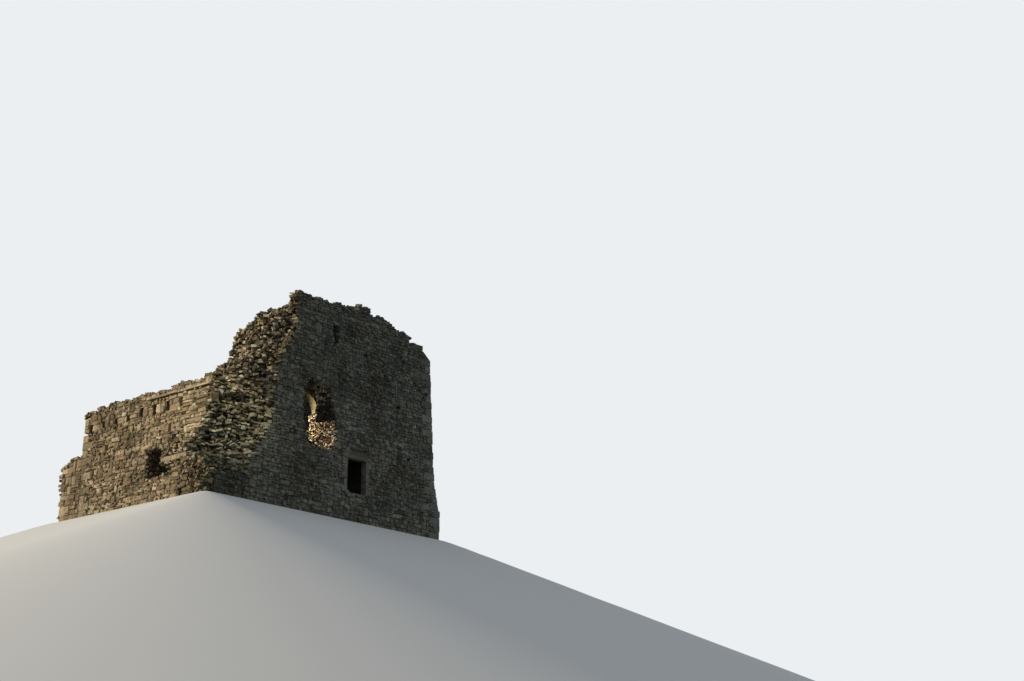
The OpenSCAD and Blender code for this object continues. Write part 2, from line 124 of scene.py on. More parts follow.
# %% Helpers for colours and nodes
def linear(hex_colour):
    """An sRGB hex colour as the linear RGBA that Blender's sockets take."""
    parts = [int(hex_colour[i:i + 2], 16) / 255 for i in (1, 3, 5)]
    return (*(c / 12.92 if c <= 0.04045 else ((c + 0.055) / 1.055) ** 2.4 for c in parts), 1.0)


def add_node(tree, kind, links=(), stops=(), **settings):
    """Adds a node. settings are its properties, and stops the (place, hex) colours of a ramp.
    links fill its inputs, in order or by name: values, sockets, or nodes' first outputs."""
    node = tree.nodes.new(kind)
    for key, value in settings.items():
        setattr(node, key, value)
    for key, value in links.items() if isinstance(links, dict) else enumerate(links):
        if isinstance(value, bpy.types.Node):
            value = value.outputs[0]
        if isinstance(value, bpy.types.NodeSocket):
            tree.links.new(value, node.inputs[key])
        else:
            node.inputs[key].default_value = value
    if stops:
        elements = node.color_ramp.elements
        while len(elements) < len(stops):
            elements.new(0.5)
        for element, (place, colour) in zip(elements, stops):
            element.position, element.color = place, linear(colour)
    return node


print("middle grey of the stone", [round(c, 2) for c in linear("#83877f")])

# %% World
SKY_LIGHT = 0.38

world = bpy.data.worlds.new("open_sky")
scene.world = world
world.use_nodes = True
sky = world.node_tree
sky.nodes.clear()
ray = add_node(sky, "ShaderNodeLightPath").outputs
# The camera sees a pale backdrop, while the stones are lit by a dimmer and bluer sky
seen = add_node(sky, "ShaderNodeMath", (ray["Is Camera Ray"], ray["Is Glossy Ray"]),
                operation="MAXIMUM")
lighting = add_node(sky, "ShaderNodeBackground", (linear("#e6eefb"), SKY_LIGHT))
backdrop = add_node(sky, "ShaderNodeBackground", (linear("#eceff1"), 1.0))
mixed = add_node(sky, "ShaderNodeMixShader", (seen, lighting, backdrop))
add_node(sky, "ShaderNodeOutputWorld", (mixed,))
print("sky nodes", len(sky.nodes))

# %% Lamps
SUN_LIGHT, WINDOW_LIGHT, CORNER_LIGHT = 3.6, 2200, 9500
SUN_FROM = Vector((-0.84, 0.50, 0.17))
WINDOW_LAMP, WINDOW_AIM = Vector((-1.95, -1.7, 5.2)), Vector((-0.15, -5.2, 5.5))
CORNER_LAMP, CORNER_AIM = Vector((-19.8, -14.8, 10.2)), Vector((-6.9, -5.3, 4.7))


def add_lamp(name, kind, energy, colour, place, aim, **shape):
    """A lamp at a place that shines towards an aim."""
    data = bpy.data.lights.new(name, kind)
    data.energy, data.color = energy, linear(colour)[:3]
    for key, value in shape.items():
        setattr(data, key, value)
    lamp = into_scene(name, data)
    turn = (place - aim).to_track_quat("Z", "Y").to_matrix().to_4x4()
    lamp.matrix_world = Matrix.Translation(place) @ turn


add_lamp("low_sun", "SUN", SUN_LIGHT, "#ffefd6", SUN_FROM, Vector(), angle=math.radians(3))
add_lamp("sunlight_behind_the_window", "SPOT", WINDOW_LIGHT, "#ffead4", WINDOW_LAMP, WINDOW_AIM,
         spot_size=math.radians(54), spot_blend=0.6, shadow_soft_size=0.12)
add_lamp("light_on_the_fallen_corner", "SPOT", CORNER_LIGHT, "#fbf4e4", CORNER_LAMP, CORNER_AIM,
         spot_size=math.radians(19), spot_blend=0.9, shadow_soft_size=0.3)
print("sun", round(math.degrees(math.asin(SUN_FROM.normalized().z))), "degrees high")

# %% [markdown]
# ## The ground
# The camera looks up from below, so a flat floor would hide the walls. A plain pale knoll stands
# in for it: level under the keep, then falling away on all sides more steeply than the view. The
# camera sees it pale, but it throws back only as much light on the walls as turf does.

# %% Knoll
KNOLL_SLOPE, KNOLL_ROUND, KNOLL_REACH, KNOLL_RINGS = 0.42, 0.35, 260.0, 26
UNDER_THE_WALLS = 0.002
lowest, highest = Vector(cad_box[0]), Vector(cad_box[1])


def knoll_height(x, y):
    """How far the knoll has fallen outside the keep's box."""
    dx = max(lowest.x - x, 0.0, x - highest.x)
    dy = max(lowest.y - y, 0.0, y - highest.y)
    away = math.hypot(dx, dy)
    return -KNOLL_SLOPE * (math.hypot(away, KNOLL_ROUND) - KNOLL_ROUND)


def knoll_lines(low, high):
    """Grid lines that lie close together near the keep and far apart away from it."""
    steps = [KNOLL_REACH * (i / KNOLL_RINGS) ** 3 for i in range(1, KNOLL_RINGS + 1)]
    inside = [low + (high - low) * i / 6 for i in range(7)]
    return [low - s for s in reversed(steps)] + inside + [high + s for s in steps]


xs, ys = knoll_lines(lowest.x, highest.x), knoll_lines(lowest.y, highest.y)
knoll_mesh = bpy.data.meshes.new("knoll")
knoll_mesh.from_pydata(
    [(x, y, knoll_height(x, y) - UNDER_THE_WALLS) for y in ys for x in xs], [],
    [(j * len(xs) + i, j * len(xs) + i + 1, (j + 1) * len(xs) + i + 1, (j + 1) * len(xs) + i)
     for j in range(len(ys) - 1) for i in range(len(xs) - 1)])
for face in knoll_mesh.polygons:
    face.use_smooth = True
knoll = into_scene("knoll", knoll_mesh)

# Matt pale ground to the camera, dull turf to the light that it bounces onto the walls
pale = bpy.data.materials.new("pale_plain_ground")
pale.use_nodes = True
ground = pale.node_tree
shader = ground.nodes["Principled BSDF"]
seen = add_node(ground, "ShaderNodeLightPath").outputs["Is Camera Ray"]
tone = add_node(ground, "ShaderNodeMix", {0: seen, 6: linear("#6d7060"), 7: linear("#d9dad6")},
                data_type="RGBA")
ground.links.new(tone.outputs[2], shader.inputs["Base Color"])
shader.inputs["Roughness"].default_value = 0.95
knoll_mesh.materials.append(pale)
print("knoll", len(knoll_mesh.polygons), "faces")

# %% [markdown]
# ## Reading the walls
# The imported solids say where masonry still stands. One search tree of all their faces lets the
# script ask, at any place on a wall, whether stone is there and how far back it lies, so the
# courses stop at openings and broken edges by themselves and nothing is measured twice.

# %% A search tree of every solid face
SLOT_OF = {part["node"]: part["material_slot"] for part in frame["record"]["subparts"]}
DRESSED = {name for name, slot in SLOT_OF.items() if slot == "dressed_stone"}


def solid_faces():
    """Corners, triangles and owning node of every face of the frame."""
    corners, triangles, owners = [], [], []
    for name in sorted(NODES):
        mesh = NODES[name].data
        first = len(corners)
        corners.extend(vertex.co.copy() for vertex in mesh.vertices)
        mesh.calc_loop_triangles()
        for triangle in mesh.loop_triangles:
            triangles.append([first + i for i in triangle.vertices])
            owners.append(name)
    return corners, triangles, owners


corners, triangles, owners = solid_faces()
solids = BVHTree.FromPolygons(corners, triangles)
LEFT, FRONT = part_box("left_wall_middle")[0].x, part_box("front_wall_between")[0].y
print("triangles in the solids", len(triangles), "left", round(LEFT, 3), "front", round(FRONT, 3))

# %% [markdown]
# ## Courses
# Rubble of this kind is laid in rough courses that run round the whole building. Each course
# here has its own height, and each stone its own length, corners and lean. A wall is a flat
# drawing board with u along it and z up; a stone is drawn on it as an eight-sided outline.

# %% Course heights for the whole keep
COURSE_LOW, COURSE_HIGH = 0.12, 0.27
JOINT_THIN, JOINT_WIDE = 0.006, 0.024
WAVE = 0.028
UP_TO = cad_box[1][2]


def course_heights(top, seed, low=COURSE_LOW, high=COURSE_HIGH):
    dice = random.Random(seed)
    levels = [0.0]
    while levels[-1] < top:
        levels.append(levels[-1] + dice.uniform(low, high))
    return levels


COURSES = course_heights(UP_TO + 0.3, 5)
print("courses", len(COURSES) - 1)


# %% A wall to lay stones on
UP = Vector((0, 0, 1))
REACH_IN, LEVEL_WITHIN = 0.3, 0.16


class Wall:
    """One face of a wall, from start to end on the plan, or left to right as seen from outside.
    depths say how far behind and before it the solid may stand."""

    def __init__(self, name, start, end, foot=0, top=UP_TO, depths=(-0.05, 0.05), leave=(),
                 torn=None, levels=None):
        (x0, y0), (x1, y1) = start, end
        self.name, self.start = name, Vector((x0, y0, 0))
        self.length = abs(x1 - x0) + abs(y1 - y0)
        self.along = Vector((x1 - x0, y1 - y0, 0)) / self.length
        self.out = self.along.cross(UP)
        self.rise, self.depths = (foot, top), depths
        self.leave = DRESSED | set(leave)
        self.torn = torn
        self.levels = levels or COURSES
        self.runs = []

    def place(self, u, z, proud=0.0):
        return self.start + self.along * u + self.out * proud + Vector((0, 0, z))

    def depth(self, u, z):
        """How far the solid stands out from the board at u, z; None where there is none."""
        if self.torn and self.torn(u, z):
            return None
        away = self.depths[1] + REACH_IN
        hit, normal, index, distance = solids.ray_cast(self.place(u, z, away), -self.out,
                                                       away - self.depths[0])
        if hit is None or owners[index] in self.leave or normal.dot(self.out) < 0.5:
            return None
        proud = away - distance
        return proud if proud <= self.depths[1] else None

    def full(self, u, low, high):
        """Whether masonry fills the board at u from low to high."""
        found = [self.depth(u, z) for z in (low, (low + high) / 2, high)]
        return None not in found and max(found) - min(found) < LEVEL_WITHIN


def edge_between(wall, inside, outside, low, high):
    """The end of a run of masonry, found by halving."""
    for _ in range(4):
        middle = (inside + outside) / 2
        if wall.full(middle, low, high):
            inside = middle
        else:
            outside = middle
    return inside


def find_runs(wall, low, high, step=0.07, shortest=0.09):
    """Stretches of the course that masonry fills."""
    runs, begun, last = [], None, None
    count = int(wall.length / step)
    for i in range(count + 1):
        u = min(0.004 + i * step, wall.length - 0.004)
        if wall.full(u, low, high):
            if begun is None:
                begun = u if last is None else edge_between(wall, u, last, low, high)
        elif begun is not None:
            runs.append((begun, edge_between(wall, last, u, low, high)))
            begun = None
        last = u
    if begun is not None:
        runs.append((begun, wall.length))
    return [run for run in runs if run[1] - run[0] > shortest]


print("masonry that is level within", LEVEL_WITHIN, "m counts as one face")

# %% Stones of one course
LONGEST, SHORTEST = 0.80, 0.14
JUMPERS, PILED = 0.10, 0.34
LEAST_COURSE, PART_COURSE = 0.07, 0.6


def wander(u, z):
    """Courses are not ruler straight: how far this place has moved up or down."""
    return WAVE * (math.sin(0.9 * u + 1.9 * z) + 0.6 * math.sin(2.3 * u + 0.8 * z))


def outline(dice, left, right, low, high, loose):
    """The eight corners of a stone's face, anticlockwise, with its joints taken off."""
    joints = [dice.uniform(JOINT_THIN, JOINT_WIDE) / 2 for _ in range(4)]
    left, right, low, high = left + joints[0], right - joints[1], low + joints[2], high - joints[3]
    wide, tall = right - left, high - low
    least = min(wide, tall)
    across = [dice.uniform(0.05, 0.34) * least for _ in range(4)]
    up = [dice.uniform(0.05, 0.30) * least for _ in range(4)]
    lean = dice.gauss(0, 0.05) * tall
    shape = [(left + across[0] - lean, low), (right - across[1] - lean, low),
             (right, low + up[0]), (right, high - up[1]),
             (right - across[2] + lean, high), (left + across[3] + lean, high),
             (left, high - up[2]), (left, low + up[3])]
    shift = loose * least
    return [(u + dice.uniform(-shift, shift), z + dice.uniform(-shift, shift)) for u, z in shape]


def stones_in_run(dice, begin, end, low, high, piled):
    """Splits a run into stones (left, right, foot, head), some of them two thin ones in a pile."""
    tall, place = high - low, begin
    while place < end - 0.02:
        wide = min(LONGEST, max(SHORTEST, tall * dice.triangular(0.7, 3.2, 1.4)))
        if end - place - wide < SHORTEST:
            wide = end - place if end - place < 1.2 * LONGEST else (end - place) / 2
        if tall > 0.19 and wide > 0.24 and dice.random() < piled:
            split = low + tall * dice.uniform(0.30, 0.70)
            yield place, place + wide, low, split
            yield place, place + wide, split, high
        else:
            yield place, place + wide, low, high
        place += wide


def free_stretches(runs, taken):
    """What is left of the runs beside the stretches that taller stones from below have taken."""
    free = list(runs)
    for left, right in taken:
        free = [piece for begin, end in free
                for piece in ((begin, min(end, left)), (max(begin, right), end))
                if piece[1] - piece[0] > LEAST_COURSE]
    return free


print("stones", SHORTEST, "to", LONGEST, "m long, share of pairs", PILED)

# %% All the stones of a wall
def draw_layout(wall, seed, lost=0.0, proud=(0.022, 0.06), jumpers=JUMPERS, piled=PILED,
                loose=0.05):
    """Draws every stone of a wall as a face lying just inside the solid. Shares of the stones are
    lost, rise through two courses as jumpers, or are piled in pairs."""
    dice = random.Random(seed)
    points, faces, values = [], [], []
    taken = []
    levels = [min(max(level, wall.rise[0]), wall.rise[1]) for level in wall.levels]
    for low, high, above in zip(levels, levels[1:], levels[2:] + levels[-1:]):
        if high - low < LEAST_COURSE:
            continue
        runs = find_runs(wall, low + 0.02, high - 0.02)
        wall.runs.append((low, high, runs))
        short = low + PART_COURSE * (high - low)
        low_runs = free_stretches(find_runs(wall, low + 0.02, short), runs)
        wall.runs.append((low, short, low_runs))
        tall_ones = []
        stretches = [(run, high) for run in free_stretches(runs, taken)]
        stretches += [(run, short) for run in free_stretches(low_runs, taken)]
        for (begin, end), top in stretches:
            for left, right, foot, head in stones_in_run(dice, begin, end, low, top, piled):
                if (head == high and 0.1 < above - high < 0.3 and 0.2 < right - left < 0.6
                        and dice.random() < jumpers
                        and all(wall.full(u, high + 0.02, above - 0.02) for u in (left, right))):
                    tall_ones.append((left, right))
                    head = above
                shape = outline(dice, left, right, foot, head, loose)
                stone_proud = dice.uniform(*proud) * (1.6 if dice.random() < 0.12 else 1.0)
                tint, warmth, lean = dice.random(), dice.random(), dice.uniform(-0.014, 0.014)
                if dice.random() < lost:
                    continue
                middle = wall.depth(*(sum(places) / 8 for places in zip(*shape))) or 0.0
                first = len(points)
                for u, z in shape:
                    at = wall.depth(min(max(u, 0.003), wall.length - 0.003), z)
                    at = middle if at is None or abs(at - middle) > 0.09 else at
                    points.append(wall.place(u, z + wander(u, z), at))
                    tipped = stone_proud + lean * (1 if z > low else -1)
                    values.append((max(0.008, tipped), tint, warmth))
                faces.append(list(range(first, first + 8)))
        taken = tall_ones
    return points, faces, values


print("share of jumpers", JUMPERS)

# %% [markdown]
# ## From a drawing to stones
# Geometry Nodes turn each outline into a block: the face is pushed out of the wall, drawn in a
# little, pushed out again and roughened by noise. The first drawing, flipped, closes the block
# behind, so every stone is a closed solid sunk into its wall.

# %% The tree that lays stones
def group_input(tree, name, kind, value=None):
    """A named input of a node group; returns its identifier, which is what a modifier is set by."""
    socket = tree.interface.new_socket(name=name, in_out="INPUT", socket_type=kind)
    if value is not None:
        socket.default_value = value
    return socket.identifier


def build_stone_tree():
    tree = bpy.data.node_groups.new("lay_stones", "GeometryNodeTree")
    add = partial(add_node, tree)
    group_input(tree, "Layout", "NodeSocketGeometry")
    # A grain of 5.5 makes one swelling about every 180 mm
    ids = {key: group_input(tree, name, "NodeSocketFloat", value) for key, name, value in (
        ("sunk", "Sunk", 0.03), ("shoulder", "Shoulder", 0.965), ("crown", "Crown", 0.85),
        ("rough", "Roughness", 0.027), ("grain", "Grain", 5.5), ("seed", "Seed", 3.0))}
    ids["stone"] = group_input(tree, "Stone", "NodeSocketMaterial")
    tree.interface.new_socket(name="Wall", in_out="OUTPUT", socket_type="NodeSocketGeometry")
    given = add("NodeGroupInput").outputs

    sink = add("ShaderNodeMath", (given["Sunk"], -1.0), operation="MULTIPLY")
    inward = add("ShaderNodeVectorMath", {0: add("GeometryNodeInputNormal"), "Scale": sink},
                 operation="SCALE")
    drawing = add("GeometryNodeSetPosition", {"Geometry": given["Layout"], "Offset": inward})
    drawing = add("GeometryNodeStoreNamedAttribute", {
        "Geometry": drawing, "Name": "height", "Value": 0.0})

    # Pushed out in two steps, each drawn in: a shoulder, then a crown
    proud = add("GeometryNodeInputNamedAttribute", {"Name": "proud"})
    stone, top = drawing, None
    for share, height, drawn_in in ((0.55, 0.6, "Shoulder"), (0.45, 1.0, "Crown")):
        rise = add("ShaderNodeMath", (proud, share), operation="MULTIPLY")
        if top is None:
            rise = add("ShaderNodeMath", (given["Sunk"], rise), operation="ADD")
        pushed = add("GeometryNodeExtrudeMesh", {
            "Mesh": stone, "Offset Scale": rise, **({"Selection": top} if top else {})},
            mode="FACES")
        top = pushed.outputs["Top"]
        stone = add("GeometryNodeStoreNamedAttribute", {
            "Geometry": pushed, "Name": "height", "Value": height, "Selection": top})
        stone = add("GeometryNodeScaleElements", {
            "Geometry": stone, "Selection": top, "Scale": given[drawn_in]})

    back = add("GeometryNodeFlipFaces", (drawing,))
    joined = add("GeometryNodeJoinGeometry")
    for half in (stone, back):
        tree.links.new(half.outputs[0], joined.inputs[0])
    closed = add("GeometryNodeMergeByDistance", {"Geometry": joined, "Distance": 0.0004})

    noise = add("ShaderNodeTexNoise", {
        "Vector": add("GeometryNodeInputPosition"), "W": given["Seed"], "Scale": given["Grain"],
        "Detail": 2.0}, noise_dimensions="4D")
    centred = add("ShaderNodeVectorMath", (noise.outputs["Color"], (0.5, 0.5, 0.5)),
                  operation="SUBTRACT")
    height = add("GeometryNodeInputNamedAttribute", {"Name": "height"})
    swing = add("ShaderNodeMath", (given["Roughness"], 2.0), operation="MULTIPLY")
    swing = add("ShaderNodeMath", (height, swing), operation="MULTIPLY")
    shift = add("ShaderNodeVectorMath", {0: centred, "Scale": swing}, operation="SCALE")
    rough = add("GeometryNodeSetPosition", {"Geometry": closed, "Offset": shift})
    real = add("GeometryNodeRealizeInstances", (rough,))
    dressed = add("GeometryNodeSetMaterial", {"Geometry": real, "Material": given["Stone"]})
    add("NodeGroupOutput", (dressed,))
    return tree, ids


STONE_TREE, STONE_IDS = build_stone_tree()
print("stone tree", len(STONE_TREE.nodes), "nodes")

# %% Finish a piece made by nodes
STONE_VALUES = (("proud", "FLOAT"), ("tint", "FLOAT"), ("warmth", "FLOAT"))
LAID = []


def mesh_with_values(name, points, faces, kinds, rows):
    """A mesh whose points carry rows of values; kinds are their names and types."""
    mesh = bpy.data.meshes.new(name)
    mesh.from_pydata(points, [], faces)
    for (key, kind), column in zip(kinds, zip(*rows)):
        vector = kind == "FLOAT_VECTOR"
        flat = [part for row in column for part in row] if vector else column
        mesh.attributes.new(key, kind, "POINT").data.foreach_set("vector" if vector else "value",
                                                                 flat)
    return mesh


def finish_by_nodes(name, mesh, tree, settings):
    """Runs a tree on a mesh once, keeps what it makes as a plain mesh, and lets that ride."""
    source = into_scene(name, mesh)
    modifier = source.modifiers.new(tree.name, "NODES")
    modifier.node_group = tree
    for identifier, value in settings.items():
        modifier[identifier] = value
    bpy.context.view_layer.update()
    ready = source.evaluated_get(bpy.context.evaluated_depsgraph_get())
    result = bpy.data.meshes.new_from_object(ready)
    source.modifiers.clear()
    source.data = result
    bpy.data.meshes.remove(mesh)
    result.name = name
    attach(source, "root")
    result.calc_loop_triangles()
    print(name, len(result.loop_triangles), "triangles")


def lay_stones(wall, seed, stone, slot, **look):
    """Draws a wall's stones and lays them; look holds inputs of the tree and of the drawing."""
    settings = {STONE_IDS[key]: look.pop(key) for key in list(look) if key in STONE_IDS}
    settings.update({STONE_IDS["stone"]: stone, STONE_IDS["seed"]: float(seed)})
    points, faces, values = draw_layout(wall, seed, **look)
    LAID.append(wall)
    print(wall.name, len(faces), "stones")
    mesh = mesh_with_values(wall.name + "_layout", points, faces, STONE_VALUES, values)
    finish_by_nodes(wall.name, mesh, STONE_TREE, settings)


print("values on each stone", [key for key, kind in STONE_VALUES])

# %% [markdown]
# ## Weathered limestone
# Every stone is limestone, split rather than sawn, and then weathered. The colour comes from
# one value per stone, broken up by soft stains, pale lichen crusts and moss where the stone
# faces the sky. Part of it is painted light: grey for walls in shade, buff for walls in sun,
# near black in shaded openings, near white for sunlit flecks. Noise bump gives the grain that
# is too fine to model.

# %% The finish of a stone
# Each noise by the size of its patches in mm, its detail and its roughness. The grain is drawn
# coarser than real limestone's, because from 95 m nothing finer shows.
STAIN, MOTTLE = (1818.2, 4.0, 0.5), (111.11, 6.0, 0.5)
CRUST, GRAIN = (238.1, 5.0, 0.65), (26.316, 6.0, 0.5)
MATT, DULL = 0.92, 0.3
MOSS = "#565a35"
# Heights in m: the heads darken between the first two, the foot takes its tint between the others
HEADS_FROM, HEADS_FULL, LOW_FROM, LOW_UNDER = 5.0, 9.0, 6.5, 3.5


def limestone(name, tints, lichen, lichen_share, moss_share, rim_shade=0.55, loose=True,
              aloft=1.0, relief_depth=0.02, foot_shade=None):
    """Split, weathered limestone. tints are (place, hex) stops: one value per loose stone picks
    among them, and noise does in a bed. A stone's rim is darkened to rim_shade and the wall
    heads to aloft, and foot_shade tints the foot of the walls."""
    material = bpy.data.materials.new(name)
    material.use_nodes = True
    tree = material.node_tree
    add = partial(add_node, tree)
    shader = tree.nodes["Principled BSDF"]
    shader.inputs["Roughness"].default_value = MATT
    shader.inputs["Specular IOR Level"].default_value = DULL
    place = add("ShaderNodeTexCoord").outputs["Object"]
    stain, mottle, crust, grain = (
        add("ShaderNodeTexNoise", {"Vector": place, "Scale": 1000 / size_mm, "Detail": detail,
                                   "Roughness": rough})
        for size_mm, detail, rough in (STAIN, MOTTLE, CRUST, GRAIN))
    tint, warmth, height = (add("ShaderNodeAttribute", attribute_name=key).outputs["Fac"]
                            for key in ("tint", "warmth", "height"))
    if not loose:
        tint = add("ShaderNodeMapRange", (crust, 0.3, 0.7))
    colour = add("ShaderNodeValToRGB", (tint,), stops=tints)

    washes = [(mottle, ((0.25, "#a9a9a6"), (0.5, "#e4e3e0"), (0.75, "#ffffff"))),
              (stain, ((0.30, "#a8a498"), (0.55, "#f2f0ea"), (0.8, "#ffffff")))]
    if loose:
        washes.append((warmth, ((0.0, "#ffffff"), (0.25, "#f1e5df"), (0.5, "#ffffff"),
                                (0.75, "#f5f0da"), (1.0, "#e0e8ea"))))
    layers = [("MULTIPLY", 1.0, add("ShaderNodeValToRGB", (noise,), stops=stops))
              for noise, stops in washes]
    level = add("ShaderNodeSeparateXYZ", (place,)).outputs[2]
    # Painted shade: the foot of the wall is tinted cool and a little darker
    if foot_shade:
        low = add("ShaderNodeMapRange", (level, LOW_FROM, LOW_UNDER))
        layers.append(("MULTIPLY", low, linear(foot_shade)))
    heads = add("ShaderNodeMapRange", (level, HEADS_FROM, HEADS_FULL, 1.0, aloft))
    layers.append(("MULTIPLY", 1.0, heads))
    crusted = add("ShaderNodeMapRange", (crust, 0.56, 0.66, 0.0, lichen_share))
    layers.append(("MIX", crusted, linear(lichen)))
    facing = add("ShaderNodeSeparateXYZ", (add("ShaderNodeNewGeometry").outputs["Normal"],))
    skyward = add("ShaderNodeMapRange", (facing.outputs[2], 0.35, 0.85))
    damp = add("ShaderNodeMapRange", (stain, 0.40, 0.62))
    green = add("ShaderNodeMath", (skyward, damp), operation="MULTIPLY")
    green = add("ShaderNodeMath", (green, moss_share), operation="MULTIPLY")
    layers.append(("MIX", green, linear(MOSS)))
    if loose:
        # Painted shade: each stone is darker towards its rim, where it meets the joints
        rim = add("ShaderNodeMapRange", (height, 0.15, 0.85, rim_shade, 1.0))
        layers.append(("MULTIPLY", 1.0, rim))
    for blend, share, layer in layers:
        colour = add("ShaderNodeMix", {0: share, 6: colour, 7: layer}, data_type="RGBA",
                     blend_type=blend).outputs[2]
    tree.links.new(colour, shader.inputs["Base Color"])

    relief = add("ShaderNodeMath", (mottle, 1.6), operation="MULTIPLY")
    relief = add("ShaderNodeMath", (relief, grain), operation="ADD")
    bump = add("ShaderNodeBump", {"Height": relief, "Strength": 0.55, "Distance": relief_depth})
    tree.links.new(bump.outputs[0], shader.inputs["Normal"])
    return material


print("patches in mm", [noise[0] for noise in (STAIN, MOTTLE, CRUST, GRAIN)])

# %% Stone materials
# Grey limestone with painted shade, the shaded copy of the buff stone: cool, matt, with
# painted shade darkening each stone's rim at the joints
SHADED_GREY_STONE = limestone("weathered_grey_limestone", [
    (0.0, "#5f6460"), (0.25, "#737872"), (0.5, "#83877f"), (0.8, "#93958b"), (1.0, "#a9a99c")],
    "#b5b8ab", 0.40, 0.7, rim_shade=0.45, aloft=0.80)
# Buff limestone with painted sunlight, the sunlit copy of the grey stone: creamy, with a
# strong grain that raking light shows
SUNLIT_BUFF_STONE = limestone("weathered_buff_limestone", [
    (0.0, "#776c57"), (0.25, "#95876f"), (0.55, "#ab9b82"), (0.8, "#c1b098"), (1.0, "#dccfb9")],
    "#d4ccb9", 0.35, 0.7, rim_shade=0.80, relief_depth=0.05, aloft=0.8)
# Limestone painted nearly black as shade, in the passage and on the window's sides, so that
# an opening reads as deep
NEAR_BLACK_SHADE_STONE = limestone("damp_shaded_limestone", [
    (0.0, "#24231b"), (0.5, "#37342a"), (1.0, "#4c473a")], "#5a5b4a", 0.25, 0.6)
# Core rubble, broken by the fall: from earth-stained to almost white, so the tear looks rough.
# The palest tints are painted sunlit flecks, and the foot takes a painted cool shade
CORE_STONE_WITH_PAINTED_LIGHT = limestone("broken_core_limestone", [
    (0.0, "#403c2e"), (0.28, "#7e745c"), (0.52, "#b3a58a"), (0.76, "#d6c8ac"), (0.92, "#f1e7d0"),
    (1.0, "#faf3e2")], "#dcd7c2", 0.35, 0.9, relief_depth=0.04, foot_shade="#e2ecec", aloft=0.75)
# Core rubble in the window: pale broken limestone, made paler still as painted sunlight
WINDOW_RUBBLE_PAINTED_SUNLIT = limestone("freshly_broken_limestone", [
    (0.0, "#4c4336"), (0.3, "#b8a68a"), (0.65, "#eadcc2"), (1.0, "#fff8e8")],
    "#f2ecdc", 0.35, 0.2, relief_depth=0.04)
# Limestone cut square with a chisel: even and a little lighter, so the doorway stands out
DRESSED_STONE = limestone("dressed_limestone", [
    (0.0, "#6f716b"), (0.5, "#86877f"), (1.0, "#9c9b90")], "#b4b3a6", 0.35, 0.5)
print("stone materials", len(bpy.data.materials))

# %% [markdown]
# ## Mortar and packing
# Between the stones the solids themselves show: lime mortar and earth packing, darker than the
# stone because it lies in shadow and holds damp. It is the finish of the frame's own nodes.

# %% Bedding materials on the frame
# Lime mortar, washed out, with painted shade: a dark grey line round each stone of the shaded walls
MORTAR_IN_PAINTED_SHADE = limestone("lime_mortar_grey", [(0.0, "#3e403b"), (0.5, "#4e5049"), (1.0, "#605f55")],
                     "#6c6b60", 0.2, 0.5, loose=False)
# The same mortar with painted sunlight: a sandy tone only just darker than the sunlit stones
MORTAR_IN_PAINTED_SUN = limestone("lime_mortar_buff", [(0.0, "#6f634d"), (0.5, "#877960"), (1.0, "#a09176")],
                     "#a89a7e", 0.2, 0.5, loose=False)
# Earth and small stones, rammed: the brown dark between the rubble of the core
CORE_BED = limestone("earth_packed_core", [(0.0, "#2c271d"), (0.5, "#3f3727"), (1.0, "#564a36")],
                     "#75694f", 0.2, 0.6, loose=False)
# A pale colour on the rear arch, a painted highlight: one sunlit curve inside the window
ARCH_PAINTED_HIGHLIGHT = limestone("lime_plaster_of_the_arch", [
    (0.0, "#8d8566"), (0.5, "#a9a17c"), (1.0, "#bdb590")], "#c6c0a0", 0.3, 0.0, loose=False)
# Earth, trodden and patchy with moss: a dull floor in the hall
EARTH = limestone("trodden_earth", [(0.0, "#5f563f"), (0.5, "#776c50"), (1.0, "#8b8062")],
                  "#70713f", 0.6, 0.6, loose=False)
# Painted light: grey slots get the mortar in shade, warm slots the mortar in sun
BED_OF = {"grey_rubble": MORTAR_IN_PAINTED_SHADE, "warm_rubble": MORTAR_IN_PAINTED_SUN, "torn_core": CORE_BED,
          "dressed_stone": DRESSED_STONE, "earth_floor": EARTH}
for name, node in NODES.items():
    node.material_slots[0].material = BED_OF[SLOT_OF[name]]
# Painted highlight: the rear arch takes the pale sunlit colour
NODES["window_rear_arch"].material_slots[0].material = ARCH_PAINTED_HIGHLIGHT
print("nodes with a bed", len(NODES))

# %% [markdown]
# ## The walls
# Each wall face is one board. Four look out and four into the hall, two line the doorway's
# passage, and one carries the parapet, whose two courses are its own. Their sizes come from the
# boxes of the nodes, so they move with the frame.

# %% Boards of the walls
RIGHT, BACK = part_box("front_wall_right")[1].x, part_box("back_wall_right")[1].y
INNER_FRONT, INNER_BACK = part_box("front_wall_between")[1].y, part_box("back_wall_right")[0].y
INNER_LEFT, INNER_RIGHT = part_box("left_wall_middle")[1].x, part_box("right_wall_back")[0].x
STUB_END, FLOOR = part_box("curtain_stub")[1].y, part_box("ground_floor")[1].z
DRESSING, DOOR_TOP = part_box("door_jamb_left")[1].y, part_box("door_lintel")[1].z
print("hall", round(INNER_RIGHT - INNER_LEFT, 2), "by", round(INNER_BACK - INNER_FRONT, 2), "m")

# %% [markdown]
# The left face stops where the corner's torn belt begins. The belt runs down from the ledge at
# the corner to the slab beside the embrasure and covers most of the corner's foot.

# %% Edge of the torn belt on the left face
TORN_EDGE = [(0.0, 0.9), (0.5, 1.3), (1.1, 2.1), (1.9, 2.4), (2.0, 3.2), (2.4, 2.6), (2.8, 1.6),
             (3.9, 0.45), (4.7, 0.15), (5.4, 0.0)]


def along_edge(table, z):
    """Straight steps between the (height, place) pairs of a table."""
    for (low, first), (high, second) in zip(table, table[1:]):
        if z <= high:
            return first + (second - first) * max(0.0, z - low) / (high - low)
    return table[-1][1]


